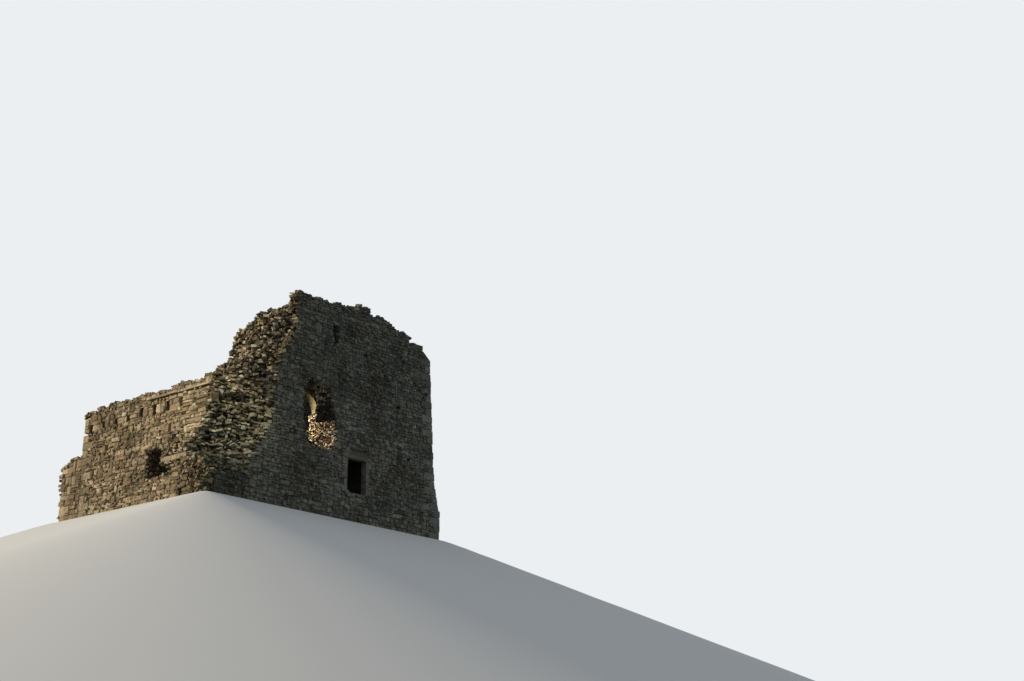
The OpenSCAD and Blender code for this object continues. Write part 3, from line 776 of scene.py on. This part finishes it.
def belt(u, z):
    """Whether the left face is torn at u, z; u runs towards the corner."""
    from_corner = STUB_END - FRONT - u
    ragged = 0.16 * math.sin(7.3 * z) + 0.09 * math.sin(19.0 * z + 1.0)
    return z < TORN_EDGE[-1][0] and from_corner < along_edge(TORN_EDGE, z) + ragged


print("belt", max(place for height, place in TORN_EDGE), "m wide at most")

# %% Courses of the left wall and its parapet
SOCKET_FOOT, SOCKET_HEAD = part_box("socket_stones")[0].z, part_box("socket_heads")[1].z
SHADOW_GAP = 0.05
LEFT_COURSES = [z for z in course_heights(SOCKET_FOOT, 6, 0.15, 0.34) if z < SOCKET_FOOT - 0.15]
LEFT_COURSES += [SOCKET_FOOT, SOCKET_FOOT + 0.34, SOCKET_HEAD,
                 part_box("left_wall_ledge")[0].z - SHADOW_GAP]
PARAPET_COURSES = [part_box("left_wall_parapet")[0].z + rise for rise in (0.0, 0.38, 0.62)]
print("left wall", len(LEFT_COURSES) - 1, "courses")

# %% Lay the outer walls
# Painted light: the front wall takes the grey stone as shade, the left wall the buff stone as sun
lay_stones(Wall("front_face_stones", (LEFT, FRONT), (RIGHT, FRONT)), 11, SHADED_GREY_STONE,
           "grey_rubble", lost=0.012)
lay_stones(Wall("left_face_stones", (LEFT, STUB_END), (LEFT, FRONT), leave=("left_wall_ledge",),
                torn=belt, levels=LEFT_COURSES), 12, SUNLIT_BUFF_STONE, "warm_rubble", lost=0.02,
           proud=(0.012, 0.10), rough=0.05, jumpers=0.3, loose=0.10, grain=5.0, crown=0.78)
lay_stones(Wall("parapet_stones", (LEFT, STUB_END), (LEFT, FRONT), levels=PARAPET_COURSES), 19,
           SUNLIT_BUFF_STONE, "warm_rubble", piled=0.0, jumpers=0.0, proud=(0.03, 0.09), rough=0.04)
lay_stones(Wall("back_face_stones", (RIGHT, BACK), (LEFT, BACK)), 13, SHADED_GREY_STONE,
           "grey_rubble", lost=0.01)
lay_stones(Wall("right_face_stones", (RIGHT, FRONT), (RIGHT, BACK), depths=(-1.3, 0.05)), 14,
           SHADED_GREY_STONE, "grey_rubble", lost=0.01)

# %% Lay the sides of the doorway's passage
low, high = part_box("front_wall_under_door")
IN_PASSAGE = Vector(((low.x + high.x) / 2, (DRESSING + INNER_FRONT) / 2,
                     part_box("door_sill_stone")[1].z + 0.5))
PASSAGE_LEFT, PASSAGE_RIGHT = (solids.ray_cast(IN_PASSAGE, Vector((side, 0, 0)))[0].x
                               for side in (-1, 1))
# Painted shade: the passage's sides take the near black stone
lay_stones(Wall("passage_right_stones", (PASSAGE_RIGHT, INNER_FRONT), (PASSAGE_RIGHT, DRESSING),
                top=DOOR_TOP), 23, NEAR_BLACK_SHADE_STONE, "grey_rubble")
lay_stones(Wall("passage_left_stones", (PASSAGE_LEFT, DRESSING), (PASSAGE_LEFT, INNER_FRONT),
                top=DOOR_TOP), 24, NEAR_BLACK_SHADE_STONE, "grey_rubble")
print("passage", round(PASSAGE_RIGHT - PASSAGE_LEFT, 2), "m wide")

# %% Lay the walls of the hall
HALL = [(INNER_RIGHT, INNER_FRONT), (INNER_LEFT, INNER_FRONT), (INNER_LEFT, INNER_BACK),
        (INNER_RIGHT, INNER_BACK)]
for i, side in enumerate(("front", "left", "back", "right")):
    lay_stones(Wall(f"hall_{side}_stones", HALL[i], HALL[(i + 1) % 4], FLOOR), 15 + i, SHADED_GREY_STONE,
               "warm_rubble" if side == "left" else "grey_rubble", lost=0.01)

# %% [markdown]
# ## Dressed stones
# The doorway's jambs, lintel, sill and thin relieving slabs, and the corner stones, are cut
# blocks. Each is a box whose corners are moved a few millimetres, with a bevelled edge, and it
# stands as far out of the wall as the rubble beside it. These blocks replace the plain nodes.

# %% Blocks with worn edges
BLOCK_PROUD, BLOCK_JOINT = 0.045, 0.006
BLOCK_FACES = ((3, 2, 1, 0), (4, 5, 6, 7), (0, 1, 5, 4), (1, 2, 6, 5), (2, 3, 7, 6), (3, 0, 4, 7))


def add_block(mesh, corners, dice, tint, loose):
    """Adds a closed block by its lower and its upper corners, anticlockwise from above."""
    tints, heights = mesh.verts.layers.float["tint"], mesh.verts.layers.float["height"]
    made = []
    for corner in corners:
        shift = Vector([dice.uniform(-loose, loose) for _ in range(3)])
        vertex = mesh.verts.new(Vector(corner) + shift)
        vertex[tints], vertex[heights] = tint, 1.0
        made.append(vertex)
    for ring in BLOCK_FACES:
        mesh.faces.new([made[i] for i in ring])


def box_corners(low, high):
    (x0, y0, z0), (x1, y1, z1) = low, high
    ring = ((x0, y0), (x1, y0), (x1, y1), (x0, y1))
    return [(x, y, z0) for x, y in ring] + [(x, y, z1) for x, y in ring]


def block_piece(name, blocks, stone, replaced=(), bevel=0.018, seed=1, loose=0.008):
    """Makes one piece from (corners, tint) blocks, bevels it, and lets it ride on the part."""
    dice = random.Random(seed)
    work = bmesh.new()
    work.verts.layers.float.new("tint")
    work.verts.layers.float.new("height")
    for corners_of_block, tint in blocks:
        add_block(work, corners_of_block, dice, tint, loose)
    bmesh.ops.recalc_face_normals(work, faces=work.faces)
    bmesh.ops.bevel(work, geom=work.edges[:] + work.verts[:], offset=bevel, segments=2,
                    affect="EDGES", profile=0.6)
    mesh = bpy.data.meshes.new(name)
    work.to_mesh(mesh)
    work.free()
    mesh.materials.append(stone)
    piece = into_scene(name, mesh)
    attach(piece, "root")
    if replaced:
        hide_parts(*replaced)
    print(name, len(blocks), "blocks")


print("blocks stand", round(1000 * BLOCK_PROUD), "mm proud of the wall")

# %% Doorway stones
def grown(box, front=BLOCK_PROUD, joint=BLOCK_JOINT):
    """A node's box, standing out of the front face and drawn in by a joint on the other sides."""
    low, high = box
    return box_corners((low.x + joint, low.y - front, low.z + joint),
                       (high.x - joint, high.y, high.z - joint))


def stacked(box, count, axis=2):
    """Cuts a box into equal parts along an axis."""
    low, high = box
    step = (high[axis] - low[axis]) / count
    for i in range(count):
        part_low, part_high = low.copy(), high.copy()
        part_low[axis], part_high[axis] = low[axis] + i * step, low[axis] + (i + 1) * step
        yield part_low, part_high


JAMB_STONES, SHORT_BY = 5, 0.4
dice = random.Random(41)
jamb_blocks = []
for name, side in (("door_jamb_left", 0), ("door_jamb_right", 1)):
    low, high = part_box(name)
    for i, (part_low, part_high) in enumerate(stacked((low, high), JAMB_STONES)):
        if i % 2:
            narrow = (high.x - low.x) * SHORT_BY
            if side:
                part_high.x -= narrow
            else:
                part_low.x += narrow
        jamb_blocks.append((grown((part_low, part_high)), dice.uniform(0.5, 0.95)))
block_piece("door_jamb_stones", jamb_blocks, DRESSED_STONE,
            ("door_jamb_left", "door_jamb_right"), seed=42)
block_piece("door_lintel_stone", [(grown(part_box("door_lintel"), 0.055), 0.7)], DRESSED_STONE,
            ("door_lintel",), bevel=0.022, seed=43)
slab_blocks = []
for i, (part_low, part_high) in enumerate(stacked(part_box("door_relieving_slabs"), 2)):
    part_low.x += 0.09 * i
    part_high.x -= 0.13 * i
    for half in stacked((part_low, part_high), 2 + i, axis=0):
        slab_blocks.append((grown(half, 0.07 + 0.02 * i), dice.uniform(0.3, 0.9)))
block_piece("door_relieving_stones", slab_blocks, DRESSED_STONE,
            ("door_relieving_slabs",), bevel=0.014, seed=44)
block_piece("door_sill_step", [(grown(part, 0.06), dice.uniform(0.4, 0.8))
                               for part in stacked(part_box("door_sill_stone"), 3, axis=1)],
            DRESSED_STONE, ("door_sill_stone",), bevel=0.02, seed=45)

# %% [markdown]
# ## Corner stones
# Quoins are long one way, then long the other. On the battered right corners each block leans
# with the wall: its lower and upper edges are found by asking the solids where they stand.

# %% Quoins
QUOIN_TALL, QUOIN_LONG, QUOIN_SHORT, QUOIN_THIN = 0.42, 0.82, 0.43, 0.12


def corner_x(y, z, side):
    """Where the outer face of a side wall stands at height z; side is -1 left or 1 right."""
    start = Vector((side * (abs(LEFT) + 1.5), y, z))
    hit, normal, index, distance = solids.ray_cast(start, Vector((-side, 0, 0)), 4.0)
    return hit.x if hit is not None else None


def quoin_blocks(side, at_back, top, seed):
    """Blocks of one corner up to the top; a block is left out where no solid is left behind it."""
    dice = random.Random(seed)
    blocks = []
    outer_y, inward = (BACK, -1) if at_back else (FRONT, 1)
    for i in range(math.ceil(top / QUOIN_TALL)):
        low_z = i * QUOIN_TALL + BLOCK_JOINT
        high_z = min((i + 1) * QUOIN_TALL, top) - BLOCK_JOINT
        probe = outer_y + inward * 0.1
        low_x, high_x = corner_x(probe, low_z + 0.02, side), corner_x(probe, high_z - 0.02, side)
        if low_x is None or high_x is None or high_z - low_z < QUOIN_THIN:
            continue
        length, depth = (QUOIN_LONG, QUOIN_SHORT) if i % 2 == 0 else (QUOIN_SHORT, QUOIN_LONG)
        length *= dice.uniform(0.97, 1.0)
        depth *= dice.uniform(0.97, 1.0)
        proud = BLOCK_PROUD * dice.uniform(0.6, 1.3)
        ring = []
        for x, z in ((low_x, low_z), (high_x, high_z)):
            near, far = x + side * proud, x - side * (length - BLOCK_JOINT)
            front_y, back_y = outer_y - inward * proud, outer_y + inward * (depth - BLOCK_JOINT)
            ring += [(near, front_y, z), (far, front_y, z), (far, back_y, z), (near, back_y, z)]
        blocks.append((ring, dice.uniform(0.1, 0.9)))
    return blocks


for corner, side, at_back, seed, stone in (("right_front", 1, False, 51, SHADED_GREY_STONE),
                                           ("right_back", 1, True, 52, SHADED_GREY_STONE),
                                           ("left_back", -1, True, 53, SUNLIT_BUFF_STONE)):
    node = "quoins_" + corner
    block_piece(corner + "_quoins", quoin_blocks(side, at_back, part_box(node)[1].z, seed), stone,
                (node,), bevel=0.03, seed=seed, loose=0.014)

# %% [markdown]
# ## Ledge and long slab
# Thin flat stones make the ledge under the parapet. They are laid end to end and each juts out a
# little differently. The slab beside the embrasure is one long stone, cracked across.

# %% Ledge and slab
LEDGE_END, LEDGE_DEEP = FRONT + 5.2, 0.5
low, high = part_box("left_wall_ledge")
ledge_blocks, place, dice = [], low.y, random.Random(61)
while place < LEDGE_END:
    wide = dice.uniform(0.45, 0.95)
    out = low.x - dice.uniform(0.03, 0.10)
    ledge_blocks.append((box_corners(
        (out, place + 0.008, low.z + 0.004),
        (out + LEDGE_DEEP, min(place + wide, LEDGE_END), high.z + 0.012)), dice.uniform(0.3, 1.0)))
    place += wide
block_piece("ledge_stones", ledge_blocks, SUNLIT_BUFF_STONE, bevel=0.014, seed=61,
            loose=0.012)

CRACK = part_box("embrasure_slab")[0].y + 1.2
low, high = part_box("embrasure_slab")
block_piece("embrasure_slab_stone",
            [(box_corners((low.x - 0.01, near, low.z - 0.004), (high.x, far, high.z + 0.006)), tint)
             for near, far, tint in ((low.y, CRACK, 0.8), (CRACK + 0.015, high.y, 0.65))],
            SUNLIT_BUFF_STONE, ("embrasure_slab",), bevel=0.03, seed=62, loose=0.02)

# %% [markdown]
# ## Broken core
# Where the facing has fallen, the core shows: flat stones bedded level, their broken ends
# sticking out, with earth between. A dozen rough stones are made once; nodes copy them to
# points scattered over every exposed surface that no facing covers.

# %% A dozen rough stones
CHUNKS = 12


def rough_stone(index):
    """A closed, flat, broken stone one unit each way: four or five corners, split top and foot."""
    dice = random.Random(700 + index)
    work = bmesh.new()
    flat = [(-0.5, -0.5), (0.5, -0.5), (0.5, 0.5), (-0.5, 0.5)]
    if index % 2:
        flat.insert(dice.randrange(1, 4), (dice.uniform(-0.1, 0.1), -0.62))
        flat.sort(key=lambda corner: math.atan2(corner[1], corner[0]))
    rings = []
    for z, spread in ((-0.5, dice.uniform(0.84, 0.96)), (0.5, dice.uniform(0.72, 0.98))):
        rings.append([work.verts.new((x * spread * dice.uniform(0.7, 1.0),
                                      y * spread * dice.uniform(0.7, 1.0),
                                      z + dice.uniform(-0.14, 0.14))) for x, y in flat])
    foot, head = rings
    for k, after in zip(range(len(flat)), [*range(1, len(flat)), 0]):
        work.faces.new((foot[k], foot[after], head[after], head[k]))
    for ring in rings:
        work.faces.new(ring)
    bmesh.ops.recalc_face_normals(work, faces=work.faces)
    bmesh.ops.bevel(work, geom=work.edges[:], offset=0.03, segments=1, affect="EDGES")
    bmesh.ops.triangulate(work, faces=work.faces)
    mesh = bpy.data.meshes.new(f"rough_stone_{index:02d}")
    work.to_mesh(mesh)
    work.free()
    return bpy.data.objects.new(mesh.name, mesh)


chunk_set = bpy.data.collections.new("rough_stones")
for index in range(CHUNKS):
    chunk_set.objects.link(rough_stone(index))


# %% The tree that scatters them
CHUNK_VALUES = (("turn", "FLOAT_VECTOR"), ("size", "FLOAT_VECTOR"), ("which", "INT"),
                ("tint", "FLOAT"), ("warmth", "FLOAT"))


def build_rubble_tree():
    tree = bpy.data.node_groups.new("scatter_rubble", "GeometryNodeTree")
    add = partial(add_node, tree)
    group_input(tree, "Points", "NodeSocketGeometry")
    stone_input = group_input(tree, "Stone", "NodeSocketMaterial")
    tree.interface.new_socket(name="Rubble", in_out="OUTPUT", socket_type="NodeSocketGeometry")
    given = add("NodeGroupInput").outputs
    rough = add("GeometryNodeCollectionInfo", {
        "Collection": chunk_set, "Separate Children": True, "Reset Children": True})
    turn, size, which = (add("GeometryNodeInputNamedAttribute", {"Name": key}, data_type=kind)
                         for key, kind in CHUNK_VALUES[:3])
    placed = add("GeometryNodeInstanceOnPoints", {
        "Points": given["Points"], "Instance": rough, "Pick Instance": True,
        "Instance Index": which, "Scale": size,
        "Rotation": add("FunctionNodeEulerToRotation", (turn,))})
    real = add("GeometryNodeRealizeInstances", (placed,))
    solid = add("GeometryNodeStoreNamedAttribute", {
        "Geometry": real, "Name": "height", "Value": 1.0})
    dressed = add("GeometryNodeSetMaterial", {"Geometry": solid, "Material": given["Stone"]})
    add("NodeGroupOutput", (dressed,))
    return tree, stone_input


RUBBLE_TREE, RUBBLE_STONE = build_rubble_tree()
print("rubble tree", len(RUBBLE_TREE.nodes), "nodes")

# %% Where the core is bare
OFF_THE_FACE, TOUCHING, COVERED = 0.006, 0.001, 0.06


def faced(point, normal):
    """Whether laid stones already cover this place."""
    for wall in LAID:
        if normal.dot(wall.out) < 0.6:
            continue
        offset = point - wall.start
        if not wall.depths[0] - 0.02 < offset.dot(wall.out) < wall.depths[1] + 0.02:
            continue
        u = offset.dot(wall.along)
        for low, high, runs in wall.runs:
            if low <= offset.z < high and any(
                    begin - 0.02 <= u <= end + 0.02 for begin, end in runs):
                return True
    return False


def buried(point, normal):
    """Whether another solid covers this place: a ray from it soon meets stone, or leaves stone."""
    hit, _, _, distance = solids.ray_cast(point + normal * OFF_THE_FACE, normal, 30.0)
    if hit is None:
        return False
    return distance < COVERED or any(
        face_normal.dot(normal) > 0.05
        for _, face_normal, _, _ in solids.find_nearest_range(hit, TOUCHING))


def bare_points(names, spacing, keep, seed, unfaced):
    """Evenly spread places on the open surfaces of some nodes; unfaced skips what is faced."""
    dice = random.Random(seed)
    sides = [[corners[i] for i in triangle] for triangle, owner in zip(triangles, owners)
             if owner in names]
    areas = [(b - a).cross(c - a).length / 2 for a, b, c in sides]
    places, cells = [], {}
    picks = dice.choices(range(len(sides)), weights=areas, k=int(3.2 * sum(areas) / spacing ** 2))
    for pick in picks:
        a, b, c = sides[pick]
        r, s = dice.random(), dice.random()
        if r + s > 1:
            r, s = 1 - r, 1 - s
        point = a + (b - a) * r + (c - a) * s
        cell = tuple(int(math.floor(v / spacing)) for v in point)
        near = [q for dx in (-1, 0, 1) for dy in (-1, 0, 1) for dz in (-1, 0, 1)
                for q in cells.get((cell[0] + dx, cell[1] + dy, cell[2] + dz), ())]
        if any((q - point).length < spacing for q in near):
            continue
        normal = (b - a).cross(c - a).normalized()
        if (not keep(point, normal) or (unfaced and faced(point, normal))
                or buried(point, normal)):
            continue
        cells.setdefault(cell, []).append(point)
        places.append((point, normal))
    return places


print("boards with a facing", len(LAID))

# %% Bedding rough stones
def scatter(name, nodes, spacing, keep, seed, stone, unfaced=True, length=(0.15, 0.50),
            deep=(0.24, 0.48), thick=(0.06, 0.19), sunk=0.34, tumble=0.22, jut=(-0.14, 0.165),
            twist=0.8):
    """Beds rough stones on some nodes, wherever keep allows one: level, with an end towards the
    light, and sunk by a share of itself. The seed spreads them and the next one shapes them."""
    dice = random.Random(seed + 1)
    points, rows = [], []
    for point, normal in bare_points(nodes, spacing, keep, seed, unfaced):
        size = (dice.triangular(*length, length[0] * 1.3), dice.uniform(*deep),
                dice.uniform(*thick))
        level = Vector((normal.x, normal.y, 0))
        steep = level.length > 0.3
        heading = math.atan2(level.y, level.x) if steep else dice.uniform(-3.1, 3.1)
        turn = (dice.gauss(0, tumble), dice.gauss(0, tumble),
                heading - math.pi / 2 + dice.gauss(0, twist))
        reach = (size[1] * (0.5 - sunk) + dice.uniform(*jut)) if steep else size[2] * (0.5 - sunk)
        points.append(point + normal * reach)
        rows.append((turn, size, dice.randrange(CHUNKS), dice.random(), dice.random()))
    print(name, len(points), "rough stones")
    mesh = mesh_with_values(name + "_points", points, [], CHUNK_VALUES, rows)
    finish_by_nodes(name, mesh, RUBBLE_TREE, {RUBBLE_STONE: stone})


print("values on each rough stone", [key for key, kind in CHUNK_VALUES])

# %% Rubble of the fallen corner
CORNER_NODES = {"corner_core", "corner_shoulder", "torn_end_low", "torn_end_high",
                "front_wall_foot_left", "left_wall_near"}
WALL_ENDS = {"left_wall_band", "left_wall_ledge", "left_wall_parapet"}
RETURN_NODES = {"return_wall_low", "return_wall_middle", "return_wall_high"}


def sideways(point, normal):
    return normal.z > -0.6 and point.z > 0.05


def towards_left(point, normal):
    return sideways(point, normal) and normal.x < -0.7 and point.x < LEFT + 0.6


def from_the_front(point, normal):
    return sideways(point, normal) and not towards_left(point, normal)


def end_face(point, normal):
    return normal.y < -0.6


# Painted light: the core rubble's palest stones stand for sunlit flecks
scatter("fallen_corner_rubble", CORNER_NODES, 0.145, from_the_front, 71, CORE_STONE_WITH_PAINTED_LIGHT)
scatter("fallen_left_rubble", CORNER_NODES, 0.145, towards_left, 79, SUNLIT_BUFF_STONE,
        jut=(-0.08, 0.08))
scatter("left_wall_end_rubble", WALL_ENDS, 0.145, end_face, 85, CORE_STONE_WITH_PAINTED_LIGHT)
scatter("return_wall_rubble", RETURN_NODES, 0.165, sideways, 73, CORE_STONE_WITH_PAINTED_LIGHT,
        jut=(-0.05, 0.06))

# %% Rubble in the window
WINDOW_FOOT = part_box("window_right_reveal")[0].z
SPRINGING = WINDOW_FOOT + 0.7
WINDOW_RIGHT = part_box("window_torn_rubble")[1].x


def in_the_bay(point, normal):
    """The torn jamb, and the side of the bay above it up to the springing of the rear arch."""
    return sideways(point, normal) and (point.x < WINDOW_RIGHT - 0.01 or (
        abs(point.x - WINDOW_RIGHT) < 0.02 and normal.x < -0.9
        and WINDOW_FOOT < point.z < SPRINGING))


# Painted sunlight: the window's rubble takes the palest stone
scatter("window_rubble", {"window_torn_rubble", "front_wall_between"}, 0.12, in_the_bay, 75,
        WINDOW_RUBBLE_PAINTED_SUNLIT, length=(0.13, 0.38), deep=(0.16, 0.32), thick=(0.05, 0.13),
        jut=(-0.07, 0.09))
# Painted shade: the window's sides take the near black stone
scatter("window_side_stones", {"window_left_reveal", "window_right_reveal"}, 0.17, sideways, 77,
        NEAR_BLACK_SHADE_STONE, length=(0.2, 0.42), deep=(0.16, 0.3), thick=(0.1, 0.24),
        sunk=0.44, jut=(-0.03, 0.01))

# %% [markdown]
# ## Wall heads
# The heads are open: flat stones lie loose on them, bedded in soil, and moss grows there. Points
# on the upward faces get larger, flatter stones than the core does.

# %% Loose stones on the heads
GREY_HEADS = {name for name in NODES if name.startswith(("front_wall", "back_wall", "right_wall"))
              } - CORNER_NODES
WARM_HEADS = {name for name in NODES if name.startswith(("left_wall", "curtain"))
              } - CORNER_NODES - {"left_wall_ledge", "left_wall_band"}


def skyward(point, normal):
    return normal.z > 0.7 and point.z > 2.5


def not_skyward(point, normal):
    return normal.z > -0.5 and point.z > 0.05 and not skyward(point, normal)


for label, nodes, stone in (("grey", GREY_HEADS, SHADED_GREY_STONE), ("buff", WARM_HEADS, SUNLIT_BUFF_STONE)):
    scatter(label + "_head_stones", nodes, 0.25, skyward, 81, stone, length=(0.26, 0.52),
            deep=(0.22, 0.40), thick=(0.08, 0.16), sunk=0.5, tumble=0.08)
    scatter(label + "_edge_stones", nodes, 0.19, not_skyward, 83, stone, length=(0.2, 0.45),
            deep=(0.16, 0.3), thick=(0.1, 0.2), sunk=0.42, jut=(-0.02, 0.03))

# %% [markdown]
# ## Pinnings
# Wherever two rubble stones leave a gap, the mason drives in a small flat stone, a pinning. They
# break up the joints of the two walls in view, so these read as rubble and not as brickwork.

# %% Pinnings in the left and front walls
LEFT_NODES = {name for name in NODES if name.startswith("left_wall")} - {"left_wall_ledge"}
FRONT_NODES = {name for name in NODES if name.startswith(("front_wall", "corner", "torn_end"))}


def on_left_face(point, normal):
    return normal.x < -0.9 and point.x < LEFT + 0.03 and point.z > 0.1


def on_front_face(point, normal):
    return normal.y < -0.9 and point.y < FRONT + 0.03 and point.z > 0.1


scatter("left_wall_pinnings", LEFT_NODES, 0.21, on_left_face, 87, SUNLIT_BUFF_STONE,
        unfaced=False, length=(0.08, 0.30), deep=(0.16, 0.24), thick=(0.05, 0.14), sunk=0.42,
        tumble=0.18, jut=(-0.02, 0.05), twist=0.35)
scatter("front_wall_pinnings", FRONT_NODES, 0.27, on_front_face, 89, SHADED_GREY_STONE,
        unfaced=False, length=(0.12, 0.40), deep=(0.16, 0.22), thick=(0.04, 0.11), sunk=0.42,
        tumble=0.08, jut=(-0.01, 0.04), twist=0.25)

# %% Put the rough stones away
for rough in list(chunk_set.objects):
    bpy.data.objects.remove(rough)
bpy.data.collections.remove(chunk_set)
